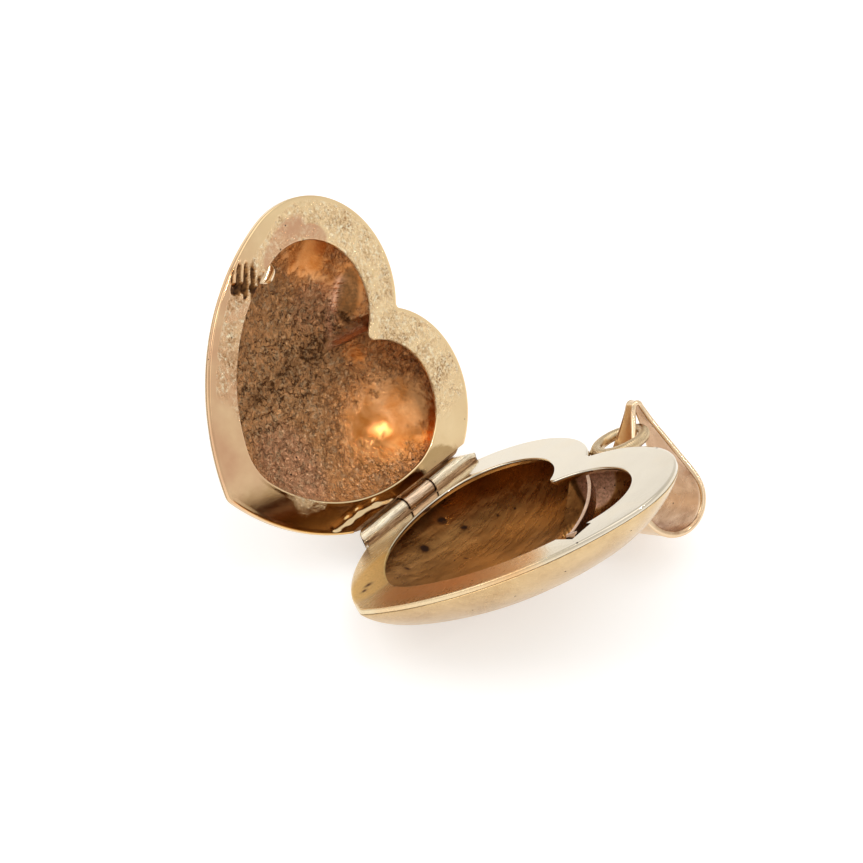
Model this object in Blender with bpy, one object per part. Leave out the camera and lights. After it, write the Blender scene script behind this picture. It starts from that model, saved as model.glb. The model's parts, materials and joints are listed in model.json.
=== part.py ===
"""Heart-shaped hinged locket, modelled half open and lying on its hinge side.

Two frames are used besides the world.  The heart frame lies in a rim face: X runs across the heart,
Y from the point to the cleft, and the origin is midway between the two lobe centres.  The hinge frame
has the hinge axis on Y and X running inwards across the heart; the back half is built in it directly,
and the front half is built mirrored in X, as if folded fully open, then turned up about the axis.
"""
import math
from collections import namedtuple

import bmesh
import bpy
from mathutils import Matrix, Vector

MM = 0.001

# Heart outlines, in the heart frame
HEART_WIDTH = 25.0 * MM
LOBE_RADIUS = 7.32 * MM
FLANK_RADIUS = 17.8 * MM
TIP_RADIUS = 0.95 * MM
TIP_CENTRE_Y = -14.9 * MM
CLEFT_RADIUS = 0.35 * MM
OPENING_LOBE_X = 4.67 * MM
OPENING_LOBE_Y = -0.9 * MM
OPENING_LOBE_RADIUS = 5.08 * MM
OPENING_FLANK_RADIUS = 13.1 * MM
OPENING_TIP_RADIUS = 4.2 * MM
OPENING_TIP_CENTRE_Y = -8.45 * MM
OPENING_CLEFT_RADIUS = 0.5 * MM

# Shells and rims
SHEET = 0.35 * MM
RIM_THICKNESS = 0.5 * MM
SEAM = 0.03 * MM
EDGE_DEPTH = 0.69 * MM
DOME_DEPTH = 4.08 * MM
DOME_POWER = 2.875
DOME_CENTRE_Y = -3.24 * MM
DOME_STEPS = 9

# Hinge
HINGE_ANGLE = math.radians(12.2)
HINGE_REACH = 11.81 * MM
HINGE_SHIFT = -0.55 * MM
HINGE_LENGTH = 12.9 * MM
MIDDLE_LENGTH = 2.87 * MM
MIDDLE_SHIFT = 0.125 * MM
KNUCKLE_GAP = 0.06 * MM
KNUCKLE_RADIUS = 0.65 * MM
BORE_RADIUS = 0.33 * MM
PIN_RADIUS = 0.28 * MM
PIN_RECESS = 0.15 * MM
CRADLE_RADIUS = 0.69 * MM
CRADLE_OUTER_RADIUS = 1.05 * MM
CRADLE_START = math.radians(-8.0)
CRADLE_END = math.radians(-115.0)
GROOVE_RADIUS = 1.1 * MM
GROOVE_END_ROOM = 0.15 * MM
BACK_FACE_Z = -0.31 * MM
CLOSED_GAP = 0.04 * MM
FRONT_FACE_Z = -BACK_FACE_Z - CLOSED_GAP

# Catch
SPRING_ROOT = Vector((2.35, 3.2)) * MM
SPRING_END = Vector((9.1, -3.7)) * MM
SPRING_BOW = 0.55 * MM
SPRING_THICKNESS = 0.3 * MM
SPRING_TOP = -0.25 * MM
SPRING_BOTTOM = -1.35 * MM
NUB_LENGTH = 0.8 * MM
NUB_REACH = 0.5 * MM
NUB_TOP = -0.02 * MM
NUB_BOTTOM = -0.75 * MM
NOTCH_CENTRE = Vector((9.3, -3.7)) * MM
NOTCH_SIZE = 2.1 * MM
KEEPER_Y = -2.6 * MM
KEEPER_LENGTH = 1.6 * MM
KEEPER_SEAM = 0.1 * MM
KEEPER_SHEET = 0.26 * MM
KEEPER_REACH = 0.6 * MM
KEEPER_TOP = 0.2 * MM
KEEPER_ROOT = -0.35 * MM

# Ring at the cleft
RING_CENTRE_Y = 8.15 * MM
RING_Z = -0.5 * MM
RING_RADIUS = 1.8 * MM
RING_WIRE_RADIUS = 0.42 * MM

# Bail: a drop-shaped loop of leaf strip, round at the chain end and folded sharp over the ring
BAIL_LENGTH = 6.43 * MM
BAIL_ROUND_RADIUS = 2.77 * MM
BAIL_FOLD_RADIUS = 0.3 * MM
BAIL_FOLD_RISE = 1.68 * MM
BAIL_LEAN = math.radians(14.3)
BAIL_SHEET = 0.36 * MM
BAIL_FOLD_HALF_WIDTH = 0.35 * MM
BAIL_HALF_WIDTH = 3.0 * MM
BAIL_WIDENING = 1.6

# How it lies
LEAN = math.radians(30.0)
OPENED = math.radians(90.0)

# Facets
LOBE_STEPS = 16
FOLD_STEPS = 4
RUN_STEPS = 5
LOOP_STEPS = 14
FLANK_STEPS = 8
TIP_STEPS = 4
CLEFT_STEPS = 2
ROUND_STEPS = 32
CURL_STEPS = 6
SMOOTH_ANGLE = math.radians(35.0)

Heart = namedtuple("Heart", "lobe_x lobe_y lobe_r flank_r tip_y tip_r cleft_r")
OUTER = Heart(HEART_WIDTH / 2 - LOBE_RADIUS, 0.0, LOBE_RADIUS, FLANK_RADIUS,
              TIP_CENTRE_Y, TIP_RADIUS, CLEFT_RADIUS)
OPENING = Heart(OPENING_LOBE_X, OPENING_LOBE_Y, OPENING_LOBE_RADIUS, OPENING_FLANK_RADIUS,
                OPENING_TIP_CENTRE_Y, OPENING_TIP_RADIUS, OPENING_CLEFT_RADIUS)


# ---------------------------------------------------------------- outlines

def inset(heart, distance):
    """The same heart with its outline moved inwards by a distance."""
    return heart._replace(lobe_r=heart.lobe_r - distance, flank_r=heart.flank_r - distance,
                          tip_r=heart.tip_r - distance, cleft_r=heart.cleft_r + distance)


def circles_meet(centre_a, reach_a, centre_b, reach_b):
    """The leftmost point at the given distances from two centres."""
    apart = centre_b - centre_a
    span = apart.length
    along = (reach_a ** 2 - reach_b ** 2 + span ** 2) / (2 * span)
    across = math.sqrt(reach_a ** 2 - along ** 2)
    foot = centre_a + apart * along / span
    side = Vector((-apart.y, apart.x)) * across / span
    return min(foot + side, foot - side, key=lambda point: point.x)


def arc(centre, radius, start, end, steps):
    """Points from start towards end, without the last one."""
    angles = [start + (end - start) * i / steps for i in range(steps)]
    return [centre + Vector((math.cos(a), math.sin(a))) * radius for a in angles]


def angle_of(vector):
    return math.atan2(vector.y, vector.x)


def heart_outline(heart):
    """Closed outline in the heart frame, clockwise from the cleft: cleft, lobe, flank, tip, and back."""
    lobe = Vector((heart.lobe_x, heart.lobe_y))
    tip = Vector((0.0, heart.tip_y))
    rise = math.sqrt((heart.lobe_r + heart.cleft_r) ** 2 - heart.lobe_x ** 2)
    cleft = Vector((0.0, heart.lobe_y + rise))
    flank = circles_meet(lobe, heart.flank_r - heart.lobe_r, tip, heart.flank_r - heart.tip_r)
    down = -math.pi / 2
    half = arc(cleft, heart.cleft_r, down, angle_of(lobe - cleft), CLEFT_STEPS)
    half += arc(lobe, heart.lobe_r, angle_of(cleft - lobe), angle_of(lobe - flank), LOBE_STEPS)
    half += arc(flank, heart.flank_r, angle_of(lobe - flank), angle_of(tip - flank), FLANK_STEPS)
    half += arc(tip, heart.tip_r, angle_of(tip - flank), down, TIP_STEPS)
    point = tip + Vector((0.0, -heart.tip_r))
    mirrored = [Vector((-p.x, p.y)) for p in reversed(half[1:])]
    return half + [point] + mirrored


def turned(vector):
    """A direction of the heart frame, seen in the hinge frame's plane."""
    return Matrix.Rotation(-HINGE_ANGLE, 2) @ vector


def in_hinge_frame(point):
    """A point of the heart frame, seen in the hinge frame's plane."""
    return turned(point) + Vector((HINGE_REACH, -HINGE_SHIFT))


def ring_of_points(outline, scale, height, side):
    """An outline shrunk towards the dome's centre, at a height, in the hinge frame of one half."""
    centre = Vector((0.0, DOME_CENTRE_Y))
    points = [in_hinge_frame(centre + (p - centre) * scale) for p in outline]
    return [Vector((p.x * side, p.y, height)) for p in points]


# ---------------------------------------------------------------- mesh helpers

def clear_scene():
    for old in list(bpy.data.objects):
        bpy.data.objects.remove(old, do_unlink=True)


def gold(name, colour, roughness):
    material = bpy.data.materials.new(name)
    material.use_nodes = True
    shader = material.node_tree.nodes["Principled BSDF"]
    shader.inputs["Base Color"].default_value = (*colour, 1.0)
    shader.inputs["Roughness"].default_value = roughness
    shader.inputs["Metallic"].default_value = 1.0
    return material


def finish(name, bm, material, parent):
    """Turn a closed bmesh into a named object under its parent; a cutter has no material."""
    bmesh.ops.recalc_face_normals(bm, faces=bm.faces)
    mesh = bpy.data.meshes.new(name)
    bm.to_mesh(mesh)
    bm.free()
    mesh.shade_smooth()
    mesh.set_sharp_from_angle(angle=SMOOTH_ANGLE)
    if material:
        mesh.materials.append(material)
    piece = bpy.data.objects.new(name, mesh)
    piece.parent = parent
    bpy.context.collection.objects.link(piece)
    return piece


def empty(name, parent, location, rotation):
    holder = bpy.data.objects.new(name, None)
    holder.parent = parent
    holder.location = location
    holder.rotation_euler = rotation
    bpy.context.collection.objects.link(holder)
    return holder


def join_rings(bm, rings, closed):
    """Quads between neighbouring vertex rings; closed also joins the last ring to the first."""
    count = len(rings[0])
    pairs = list(zip(rings, rings[1:]))
    if closed:
        pairs.append((rings[-1], rings[0]))
    for first, second in pairs:
        for i in range(count):
            j = (i + 1) % count
            bm.faces.new((first[i], first[j], second[j], second[i]))


def vertex_rings(bm, rings):
    return [[bm.verts.new(p) for p in ring] for ring in rings]


def prism(bm, profile, start, end):
    """Extrude a closed profile of (x, z) points along Y."""
    near = [bm.verts.new((x, start, z)) for x, z in profile]
    far = [bm.verts.new((x, end, z)) for x, z in profile]
    join_rings(bm, [near, far], closed=False)
    bm.faces.new(near)
    bm.faces.new(far)


def cutter(name, bm, parent):
    piece = finish(name, bm, None, parent)
    piece.hide_render = True
    piece.display_type = "WIRE"
    return piece


def cut(piece, tool):
    boolean = piece.modifiers.new(tool.name, "BOOLEAN")
    boolean.operation = "DIFFERENCE"
    boolean.object = tool


# ---------------------------------------------------------------- the two halves

def dome_drop(scale, depth):
    """Depth below the rim face of a dome ring of the given scale."""
    return EDGE_DEPTH + depth * (1.0 - scale ** DOME_POWER)


def shell(name, side, face_z, material, parent):
    """A puffed half heart of thin sheet: outer dome, top edge and inner dome in one closed skin."""
    outside = heart_outline(OUTER)
    inside = heart_outline(inset(OUTER, SHEET))
    top = face_z - RIM_THICKNESS - SEAM
    scales = [1.0 - step / DOME_STEPS for step in range(DOME_STEPS)]
    outer = [ring_of_points(outside, s, face_z - dome_drop(s, DOME_DEPTH), side) for s in scales]
    inner = [ring_of_points(inside, s, face_z - dome_drop(s, DOME_DEPTH - SHEET), side) for s in scales]
    edge = [ring_of_points(outside, 1.0, top, side), ring_of_points(inside, 1.0, top, side)]
    bm = bmesh.new()
    rings = vertex_rings(bm, outer[::-1] + edge + inner)
    join_rings(bm, rings, closed=False)
    centre = in_hinge_frame(Vector((0.0, DOME_CENTRE_Y)))
    for ring, depth in ((rings[0], DOME_DEPTH), (rings[-1], DOME_DEPTH - SHEET)):
        pole = bm.verts.new((centre.x * side, centre.y, face_z - EDGE_DEPTH - depth))
        for i, vertex in enumerate(ring):
            bm.faces.new((vertex, ring[(i + 1) % len(ring)], pole))
    return finish(name, bm, material, parent)


def rim(name, side, face_z, material, parent):
    """The flat heart-shaped frame plate that closes the shell around its opening."""
    outside = heart_outline(OUTER)
    opening = heart_outline(OPENING)
    bottom = face_z - RIM_THICKNESS
    bm = bmesh.new()
    rings = vertex_rings(bm, [ring_of_points(outside, 1.0, face_z, side),
                              ring_of_points(outside, 1.0, bottom, side),
                              ring_of_points(opening, 1.0, bottom, side),
                              ring_of_points(opening, 1.0, face_z, side)])
    join_rings(bm, rings, closed=True)
    return finish(name, bm, material, parent)


def hinge_groove(name, parent):
    """The round groove that both halves carry along the hinge axis."""
    bm = bmesh.new()
    angles = [2 * math.pi * i / ROUND_STEPS for i in range(ROUND_STEPS)]
    profile = [(GROOVE_RADIUS * math.cos(a), GROOVE_RADIUS * math.sin(a)) for a in angles]
    reach = HINGE_LENGTH / 2 + GROOVE_END_ROOM
    prism(bm, profile, -reach, reach)
    return cutter(name, bm, parent)


def catch_notch(parent):
    """The notch in the back rim's inner edge where the nub of the catch spring lies."""
    middle = in_hinge_frame(NOTCH_CENTRE)
    reach = NOTCH_SIZE / 2
    near, far = middle.x - reach, middle.x + reach
    low, high = BACK_FACE_Z - 2 * RIM_THICKNESS, BACK_FACE_Z + RIM_THICKNESS
    bm = bmesh.new()
    prism(bm, [(near, low), (far, low), (far, high), (near, high)], middle.y - reach, middle.y + reach)
    return cutter("catch_notch", bm, parent)


# ---------------------------------------------------------------- hinge

def knuckle(name, start, end, material, parent):
    """A hinge tube between two stations on the axis."""
    angles = [2 * math.pi * i / ROUND_STEPS for i in range(ROUND_STEPS)]
    stations = ((KNUCKLE_RADIUS, start), (KNUCKLE_RADIUS, end), (BORE_RADIUS, end), (BORE_RADIUS, start))
    bm = bmesh.new()
    rings = vertex_rings(bm, [[(r * math.cos(a), y, r * math.sin(a)) for a in angles] for r, y in stations])
    join_rings(bm, rings, closed=True)
    return finish(name, bm, material, parent)


def hinge_pin(material, parent):
    reach = HINGE_LENGTH / 2 - PIN_RECESS
    angles = [2 * math.pi * i / ROUND_STEPS for i in range(ROUND_STEPS)]
    bm = bmesh.new()
    prism(bm, [(PIN_RADIUS * math.cos(a), PIN_RADIUS * math.sin(a)) for a in angles], -reach, reach)
    return finish("hinge_pin", bm, material, parent)


def hinge_plate(name, side, material, parent):
    """The trough that the knuckles lie in, along the groove of one half."""
    steps = ROUND_STEPS // 2
    angles = [CRADLE_START + (CRADLE_END - CRADLE_START) * i / steps for i in range(steps + 1)]
    profile = [(CRADLE_RADIUS * math.cos(a) * side, CRADLE_RADIUS * math.sin(a)) for a in angles]
    profile += [(CRADLE_OUTER_RADIUS * math.cos(a) * side, CRADLE_OUTER_RADIUS * math.sin(a))
                for a in reversed(angles)]
    bm = bmesh.new()
    prism(bm, profile, -HINGE_LENGTH / 2, HINGE_LENGTH / 2)
    return finish(name, bm, material, parent)


# ---------------------------------------------------------------- catch

def catch_spring(material, parent):
    """A bowed leaf spring across the free lobe, with a nub at its end that lies in the rim's notch.

    It is built on its own root, X along the chord towards the free end and Y towards the lobe.
    """
    chord = (SPRING_END - SPRING_ROOT).length
    half = SPRING_THICKNESS / 2
    sections = []
    for i in range(ROUND_STEPS // 2 + 1):
        share = 2 * i / ROUND_STEPS
        bow = 4 * SPRING_BOW * share * (1 - share)
        sections.append((chord * share, bow - half, bow + half, SPRING_BOTTOM, SPRING_TOP))
    reach = half + NUB_REACH
    sections.append((chord + SPRING_THICKNESS, -half, reach, NUB_BOTTOM, NUB_TOP))
    sections.append((chord + NUB_LENGTH, -half, reach, NUB_BOTTOM, NUB_TOP))
    bm = bmesh.new()
    rings = vertex_rings(bm, [[(x, near, low), (x, far, low), (x, far, high), (x, near, high)]
                              for x, near, far, low, high in sections])
    join_rings(bm, rings, closed=False)
    bm.faces.new(rings[0])
    bm.faces.new(rings[-1])
    return finish("catch_spring", bm, material, parent)


def catch_keeper(material, parent):
    """A curled lip, X inwards from the front rim's edge and Z out of its face."""
    drop = KEEPER_TOP - KEEPER_ROOT
    turns = [math.pi / 2 * i / CURL_STEPS for i in range(CURL_STEPS + 1)]

    def curl(reach, depth):
        return [(KEEPER_SEAM + reach * math.sin(t), KEEPER_TOP - depth * math.cos(t)) for t in turns]

    profile = curl(KEEPER_REACH, drop) + curl(KEEPER_REACH - KEEPER_SHEET, drop - KEEPER_SHEET)[::-1]
    bm = bmesh.new()
    prism(bm, profile, -KEEPER_LENGTH / 2, KEEPER_LENGTH / 2)
    return finish("catch_keeper", bm, material, parent)


# ---------------------------------------------------------------- ring and bail

def bail_ring(material, parent):
    """The wire ring that lies in the cleft, level with the back rim."""
    turns = [2 * math.pi * i / ROUND_STEPS for i in range(ROUND_STEPS)]
    section = [(RING_RADIUS + RING_WIRE_RADIUS * math.cos(t), RING_WIRE_RADIUS * math.sin(t))
               for t in turns[::2]]
    bm = bmesh.new()
    rings = vertex_rings(bm, [[(r * math.cos(t), r * math.sin(t), z) for r, z in section] for t in turns])
    join_rings(bm, rings, closed=True)
    return finish("bail_ring", bm, material, parent)


def bail_path():
    """Points and outward normals round the drop: X from the fold towards the round end, Y across."""
    spread = math.asin((BAIL_ROUND_RADIUS - BAIL_FOLD_RADIUS) / BAIL_LENGTH)
    quarter = math.pi / 2
    fold = Vector((0.0, 0.0))
    loop = Vector((BAIL_LENGTH, 0.0))
    stations = [(fold, BAIL_FOLD_RADIUS, quarter + spread + (math.pi - 2 * spread) * i / FOLD_STEPS)
                for i in range(FOLD_STEPS + 1)]
    for i in range(1, RUN_STEPS):
        share = i / RUN_STEPS
        radius = BAIL_FOLD_RADIUS + (BAIL_ROUND_RADIUS - BAIL_FOLD_RADIUS) * share
        stations.append((loop * share, radius, -quarter - spread))
    stations += [(loop, BAIL_ROUND_RADIUS, (quarter + spread) * (2 * i / LOOP_STEPS - 1))
                 for i in range(LOOP_STEPS + 1)]
    for i in range(RUN_STEPS - 1, 0, -1):
        share = i / RUN_STEPS
        radius = BAIL_FOLD_RADIUS + (BAIL_ROUND_RADIUS - BAIL_FOLD_RADIUS) * share
        stations.append((loop * share, radius, quarter + spread))
    path = []
    for centre, radius, angle in stations:
        normal = Vector((math.cos(angle), math.sin(angle)))
        path.append((centre + normal * radius, normal))
    return path


def bail(material, parent):
    """The leaf strip bent round the drop, narrow at the fold and widest at the round end."""
    whole = BAIL_LENGTH + BAIL_ROUND_RADIUS
    down = Vector((-math.sin(BAIL_LEAN), -math.cos(BAIL_LEAN)))
    across = Vector((-down.y, down.x))

    def place(x, point):
        spot = down * (point.x - BAIL_FOLD_RISE) + across * point.y
        return Vector((x, spot.x, spot.y))

    rings = []
    for middle, normal in bail_path():
        share = min(max(middle.x / whole, 0.0), 1.0)
        widening = math.sin(math.pi / 2 * share) ** BAIL_WIDENING
        half = BAIL_FOLD_HALF_WIDTH + (BAIL_HALF_WIDTH - BAIL_FOLD_HALF_WIDTH) * widening
        outside = middle + normal * BAIL_SHEET / 2
        inside = middle - normal * BAIL_SHEET / 2
        rings.append([place(-half, outside), place(half, outside), place(half, inside), place(-half, inside)])
    bm = bmesh.new()
    join_rings(bm, vertex_rings(bm, rings), closed=True)
    return finish("bail", bm, material, parent)


# ---------------------------------------------------------------- assembly

def build_half(prefix, side, face_z, materials, parent):
    """Shell, rim and hinge plate of one half, grooved for the hinge; returns the rim."""
    groove = hinge_groove(prefix + "_hinge_groove", parent)
    cut(shell(prefix + "_shell", side, face_z, materials["polished"], parent), groove)
    plate = rim(prefix + "_rim", side, face_z, materials["polished"], parent)
    cut(plate, groove)
    hinge_plate(prefix + "_hinge_plate", side, materials["worn"], parent)
    return plate


def build_hinge(materials, locket, lid):
    """Two outer knuckles and the pin on the back half, and the middle knuckle on the lid."""
    end = HINGE_LENGTH / 2
    middle_start = MIDDLE_SHIFT - MIDDLE_LENGTH / 2
    middle_end = MIDDLE_SHIFT + MIDDLE_LENGTH / 2
    knuckle("back_knuckle_point", -end, middle_start - KNUCKLE_GAP, materials["worn"], locket)
    knuckle("back_knuckle_lobe", middle_end + KNUCKLE_GAP, end, materials["worn"], locket)
    knuckle("front_knuckle", middle_start, middle_end, materials["worn"], lid)
    hinge_pin(materials["worn"], locket)


def build_catch(materials, locket, lid):
    root = in_hinge_frame(SPRING_ROOT)
    chord = turned(SPRING_END - SPRING_ROOT)
    catch_axis = empty("catch_axis", locket, (root.x, root.y, BACK_FACE_Z), (0, 0, angle_of(chord)))
    catch_spring(materials["worn"], catch_axis)
    lobe = Vector((OPENING_LOBE_X, OPENING_LOBE_Y))
    drop = KEEPER_Y - OPENING_LOBE_Y
    edge = Vector((OPENING_LOBE_X + math.sqrt(OPENING_LOBE_RADIUS ** 2 - drop ** 2), KEEPER_Y))
    spot = in_hinge_frame(edge)
    inwards = turned(lobe - edge)
    keeper = catch_keeper(materials["worn"], lid)
    keeper.location = (-spot.x, spot.y, FRONT_FACE_Z)
    keeper.rotation_euler = (0, 0, math.atan2(inwards.y, -inwards.x))


def build_bail(materials, locket):
    ring_centre = in_hinge_frame(Vector((0.0, RING_CENTRE_Y)))
    height = BACK_FACE_Z + RING_Z
    ring = bail_ring(materials["worn"], locket)
    ring.location = (ring_centre.x, ring_centre.y, height)
    wire = in_hinge_frame(Vector((0.0, RING_CENTRE_Y + RING_RADIUS)))
    bail_axis = empty("bail_axis", locket, (wire.x, wire.y, height), (0, 0, -HINGE_ANGLE))
    bail(materials["matte"], bail_axis)


def stand_on_origin(locket):
    """Move the whole locket so that its box stands centred on the world origin."""
    bpy.context.view_layer.update()
    graph = bpy.context.evaluated_depsgraph_get()
    corners = []
    for piece in bpy.data.objects:
        if piece.type == "MESH" and not piece.hide_render:
            mesh = piece.evaluated_get(graph).to_mesh()
            corners += [piece.matrix_world @ vertex.co for vertex in mesh.vertices]
    low = Vector([min(corner[axis] for corner in corners) for axis in range(3)])
    high = Vector([max(corner[axis] for corner in corners) for axis in range(3)])
    locket.location -= Vector(((low.x + high.x) / 2, (low.y + high.y) / 2, low.z))


def main():
    clear_scene()
    materials = {
        "polished": gold("gold_polished", (0.78, 0.57, 0.33), 0.18),
        "worn": gold("gold_worn", (0.72, 0.55, 0.38), 0.38),
        "matte": gold("gold_matte", (0.62, 0.42, 0.30), 0.5),
    }
    locket = empty("locket", None, (0, 0, 0), (0, -LEAN, 0))
    lid = empty("lid_axis", locket, (0, 0, 0), (0, math.pi - OPENED, 0))
    back_rim = build_half("back", 1, BACK_FACE_Z, materials, locket)
    cut(back_rim, catch_notch(locket))
    build_half("front", -1, FRONT_FACE_Z, materials, lid)
    build_hinge(materials, locket, lid)
    build_catch(materials, locket, lid)
    build_bail(materials, locket)
    stand_on_origin(locket)


main()
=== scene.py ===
"""Looks of the heart-shaped locket: detailed metalwork, worn gold, floor, light and camera.

Every piece is built in millimetres in a frame of its own, and its object carries it into the row frame.
The heart frame lies in a rim face: X across the heart, Y from the point to the cleft, Z out of the face.
The hinge frame has the hinge axis on Y and X running inwards across the back half.
"""
import json
import math
from collections import namedtuple

import bmesh
import bpy
import numpy as np
from mathutils import Matrix, Vector, noise

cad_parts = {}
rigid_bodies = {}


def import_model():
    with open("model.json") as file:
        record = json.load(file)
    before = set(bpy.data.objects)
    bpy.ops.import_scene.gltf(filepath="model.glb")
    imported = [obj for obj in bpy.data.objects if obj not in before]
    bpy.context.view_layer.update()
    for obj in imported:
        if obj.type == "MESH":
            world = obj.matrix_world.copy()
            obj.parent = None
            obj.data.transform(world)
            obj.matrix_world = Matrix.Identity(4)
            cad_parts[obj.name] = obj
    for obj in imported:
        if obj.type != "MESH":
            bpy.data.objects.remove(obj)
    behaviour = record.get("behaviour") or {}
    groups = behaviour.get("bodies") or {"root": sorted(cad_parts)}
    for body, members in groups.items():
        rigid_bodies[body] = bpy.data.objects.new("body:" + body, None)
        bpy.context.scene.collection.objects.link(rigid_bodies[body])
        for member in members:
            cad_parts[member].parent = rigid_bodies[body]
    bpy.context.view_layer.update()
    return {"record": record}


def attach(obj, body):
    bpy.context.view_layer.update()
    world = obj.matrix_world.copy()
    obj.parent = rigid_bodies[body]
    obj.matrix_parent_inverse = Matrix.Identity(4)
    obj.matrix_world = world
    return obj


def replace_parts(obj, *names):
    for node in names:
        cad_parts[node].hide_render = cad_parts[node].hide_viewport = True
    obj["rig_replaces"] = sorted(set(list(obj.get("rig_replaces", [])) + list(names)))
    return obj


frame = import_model()

MM = 0.001
JOINTS = {joint["name"]: joint for joint in frame["record"]["behaviour"]["joints"]}

# Sizes of the CAD model, in millimetres and degrees
HINGE_ANGLE = 12.2
HINGE_REACH = 11.81
HINGE_SHIFT = -0.55
HINGE_LENGTH = 12.9
BACK_FACE_Z = -0.31
FRONT_FACE_Z = 0.27
LEAN = 30.0
OPENED = 90.0
GROOVE_RADIUS = 1.1
KNUCKLE_RADIUS = 0.65
BORE_RADIUS = 0.33
PIN_RADIUS = 0.28
MIDDLE = (-1.31, 1.56)
KNUCKLE_GAP = 0.08
SHEET = 0.35
DOME_DEPTH = 4.77
DOME_CENTRE_Y = -3.24
CATCH_ROOT = (2.35, 3.2)
CATCH_END = (9.1, -3.7)
NOTCH_CENTRE = (9.3, -3.7)
NOTCH_SIZE = 2.1
KEEPER_MIDDLE = (9.46, -2.6)
RING_RADIUS = 1.8
RING_WIRE = 0.40
RING_CENTRE = (0.0, 8.15)
BAIL_PIVOT = (0.0, 9.95)
RING_DROP = 0.5

# Places along the hinge axis that only the visible pieces have
FILED_FROM = 4.95
PIN_ENDS = (-4.7, 5.0)

Heart = namedtuple("Heart", "lobe_x lobe_y lobe_r flank_r tip_y tip_r cleft_r")
OUTER = Heart(5.18, 0.0, 7.32, 17.8, -14.9, 0.95, 0.35)
OPENING = Heart(4.67, -0.9, 5.08, 13.1, -8.45, 4.2, 0.5)

# Points along each arc of half an outline
CLEFT_STEPS = 10
LOBE_STEPS = 130
FLANK_STEPS = 110
TIP_STEPS = 24

# Rings from the mouth to the pole of a dome, and how far below the rim face each dome starts
OUTER_ROWS = 56
INNER_ROWS = 80
OUTER_MOUTH = -0.42
INNER_MOUTH = -0.46
LIP = -0.385


# ---------------- frames

def rotation(degrees, axis):
    return Matrix.Rotation(math.radians(degrees), 4, axis)


ROOT = Matrix.Translation(JOINTS["lid_hinge"]["pos_m"])
SIZE = Matrix.Scale(MM, 4)
BACK_HINGE = ROOT @ rotation(-LEAN, "Y") @ SIZE
LID_HINGE = ROOT @ rotation(180.0 - OPENED - LEAN, "Y") @ SIZE


def hinge_xy(x, y):
    """Heart coordinates to hinge coordinates."""
    cos, sin = math.cos(math.radians(HINGE_ANGLE)), math.sin(math.radians(HINGE_ANGLE))
    return x * cos + y * sin + HINGE_REACH, -x * sin + y * cos - HINGE_SHIFT


def back_place(points):
    """Heart-frame points of the back half, in the hinge frame."""
    x, y = hinge_xy(points[..., 0], points[..., 1])
    return np.stack([x, y, points[..., 2] + BACK_FACE_Z], -1)


def front_place(points):
    """Heart-frame points of the lid, in its own mirrored hinge frame."""
    x, y = hinge_xy(points[..., 0], points[..., 1])
    return np.stack([-x, y, points[..., 2] + FRONT_FACE_Z], -1)


# ---------------- outlines

def inset(heart, distance):
    return heart._replace(lobe_r=heart.lobe_r - distance, flank_r=heart.flank_r - distance,
                          tip_r=heart.tip_r - distance, cleft_r=heart.cleft_r + distance)


def arc(centre, radius, start, end, steps):
    angles = np.linspace(start, end, steps, endpoint=False)
    return np.stack([centre[0] + radius * np.cos(angles), centre[1] + radius * np.sin(angles)], -1)


def full_turn(count):
    return np.linspace(0, 2 * math.pi, count, endpoint=False)


def angle_of(vector):
    return math.atan2(vector[1], vector[0])


def outline(heart):
    """Closed outline as an array of points, from the cleft round by the free lobe and the tip."""
    lobe = np.array((heart.lobe_x, heart.lobe_y))
    tip = np.array((0.0, heart.tip_y))
    rise = math.sqrt((heart.lobe_r + heart.cleft_r) ** 2 - heart.lobe_x ** 2)
    cleft = np.array((0.0, heart.lobe_y + rise))
    to_lobe, to_tip = heart.flank_r - heart.lobe_r, heart.flank_r - heart.tip_r
    apart = tip - lobe
    span = np.linalg.norm(apart)
    along = (to_lobe ** 2 - to_tip ** 2 + span ** 2) / (2 * span)
    across = math.sqrt(to_lobe ** 2 - along ** 2)
    side = np.array((-apart[1], apart[0])) * across / span
    foot = lobe + apart * along / span
    flank = min((foot + side, foot - side), key=lambda point: point[0])
    down = -math.pi / 2
    half = np.concatenate([
        arc(cleft, heart.cleft_r, down, angle_of(lobe - cleft), CLEFT_STEPS),
        arc(lobe, heart.lobe_r, angle_of(cleft - lobe), angle_of(lobe - flank), LOBE_STEPS),
        arc(flank, heart.flank_r, angle_of(lobe - flank), angle_of(tip - flank), FLANK_STEPS),
        arc(tip, heart.tip_r, angle_of(tip - flank), down, TIP_STEPS)])
    point = np.array([[0.0, heart.tip_y - heart.tip_r]])
    return np.concatenate([half, point, half[:0:-1] * (-1.0, 1.0)])


def softened(heart, scale):
    """The outline of a dome ring: the cleft and the point round off as the ring shrinks."""
    lost = 1.0 - scale
    tip_r = heart.tip_r + 5.0 * lost
    return heart._replace(cleft_r=heart.cleft_r + 9.0 * lost ** 1.2, tip_r=tip_r,
                          tip_y=heart.tip_y - heart.tip_r + tip_r)


# ---------------- surface noise

def fractal(points, size, octaves=3, seed=0.0):
    """Perlin noise at each point, about -1 to 1, with features of the given size in millimetres."""
    flat = points.reshape(-1, 3) / size
    values = [noise.fractal(Vector((x + seed, y - seed, z + 2 * seed)), 0.9, 2.0, octaves)
              for x, y, z in flat.tolist()]
    return np.array(values).reshape(points.shape[:-1])


def cells(points, size, seed=0.0):
    """Distance to the edge between noise cells, 0 on the cracks and about 1 in the middle."""
    flat = points.reshape(-1, 3) / size
    values = []
    for x, y, z in flat.tolist():
        near = noise.voronoi(Vector((x + seed, y, z)))[0]
        values.append(min((near[1] - near[0]) * 2.2, 1.0))
    return np.array(values).reshape(points.shape[:-1])


def unit(values):
    return np.clip(values, 0.0, 1.0)


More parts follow.
